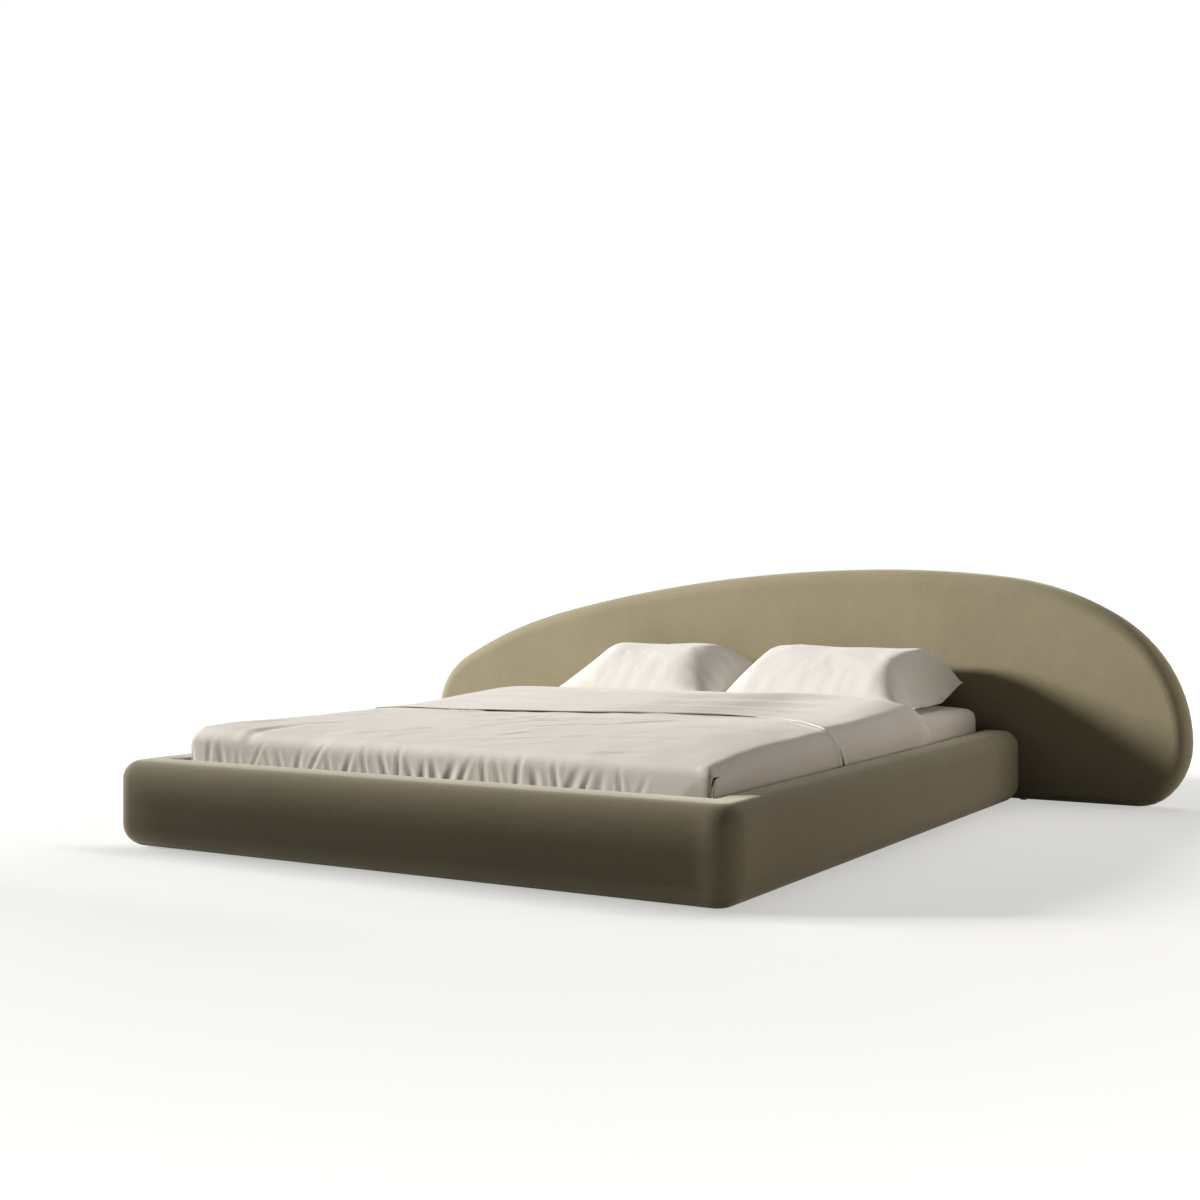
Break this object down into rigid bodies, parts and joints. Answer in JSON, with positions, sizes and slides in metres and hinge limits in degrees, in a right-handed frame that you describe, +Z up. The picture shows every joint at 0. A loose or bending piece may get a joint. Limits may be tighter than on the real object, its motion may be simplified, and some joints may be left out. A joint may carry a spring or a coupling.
{
  "type": "upholstered platform bed",
  "caption": "Low upholstered platform bed: a very wide pebble-shaped padded headboard, padded rails, drop-in sprung slatted base, mattress, duvet, turned-down sheet and pillows.",
  "frame": {"origin": "on the floor, under the middle of the whole bed", "axes": "+X to the right seen from the foot, +Y towards the headboard, +Z up"},
  "size_m": [2.92, 2.32, 0.771],
  "materials": {
    "upholstery": "soft woven velvet",
    "lining": "plain woven lining",
    "foam": "open-cell foam",
    "plywood": "raw plywood",
    "timber": "planed softwood",
    "steel": "black powder coat",
    "bolt_steel": "zinc plated",
    "frame_steel": "grey powder coat",
    "beech": "laminated beech, sealed",
    "holder_plastic": "moulded",
    "glide_plastic": "moulded",
    "ticking": "quilted knit",
    "sheet_cotton": "matt cotton",
    "duvet_cotton": "matt cotton",
    "pillow_cotton": "matt cotton"
  },
  "bodies": {
    "bed_frame": {"bearer_foot": "timber", "bearer_left": "timber", "bearer_right": "timber", "corner_angle_left": "steel", "corner_angle_right": "steel", "foot_rail_core": "timber", "foot_rail_cover": "upholstery", "foot_rail_foam": "foam", "hanging_plate_left": "steel", "hanging_plate_right": "steel", "head_cross_rail": "timber", "headboard_back_board": "plywood", "headboard_back_cover": "lining", "headboard_bolts": "bolt_steel", "headboard_cover": "upholstery", "headboard_edge_foam": "foam", "headboard_front_board": "plywood", "headboard_front_foam": "foam", "headboard_glides": "glide_plastic", "headboard_rim": "plywood", "headboard_sole_rail": "timber", "headboard_stud_1": "timber", "headboard_stud_2": "timber", "headboard_stud_3": "timber", "headboard_stud_4": "timber", "headboard_stud_5": "timber", "rail_bolts": "bolt_steel", "rail_glides": "glide_plastic", "side_rail_left_core": "timber", "side_rail_left_cover": "upholstery", "side_rail_left_foam": "foam", "side_rail_right_core": "timber", "side_rail_right_cover": "upholstery", "side_rail_right_foam": "foam"},
    "slatted_base": {"centre_leg_feet": "holder_plastic", "centre_legs": "frame_steel", "slat_frame_centre_tube": "frame_steel", "slat_frame_foot_tube": "frame_steel", "slat_frame_head_tube": "frame_steel", "slat_frame_side_tube_left": "frame_steel", "slat_frame_side_tube_right": "frame_steel", "slat_holders_centre": "holder_plastic", "slat_holders_left": "holder_plastic", "slat_holders_right": "holder_plastic", "slats_left": "beech", "slats_right": "beech"},
    "mattress": {"mattress_core": "foam", "mattress_cover": "ticking", "fitted_sheet": "sheet_cotton"},
    "covers": {"duvet": "duvet_cotton", "turned_down_sheet": "sheet_cotton"},
    "pillow_left": {"pillow_left": "pillow_cotton"},
    "pillow_right": {"pillow_right": "pillow_cotton"}
  },
  "joints": [
    {"name": "slatted_base_lift", "type": "slide", "parent": "bed_frame", "child": "slatted_base", "axis": [0, 0, 1], "range_m": [0, 0.3]},
    {"name": "mattress_lift", "type": "slide", "parent": "slatted_base", "child": "mattress", "axis": [0, 0, 1], "range_m": [0, 0.35]},
    {"name": "covers_lift", "type": "slide", "parent": "mattress", "child": "covers", "axis": [0, 0, 1], "range_m": [0, 0.3]},
    {"name": "pillow_left_lift", "type": "slide", "parent": "mattress", "child": "pillow_left", "axis": [0, 0, 1], "range_m": [0, 0.4]},
    {"name": "pillow_right_lift", "type": "slide", "parent": "mattress", "child": "pillow_right", "axis": [0, 0, 1], "range_m": [0, 0.4]}
  ]
}
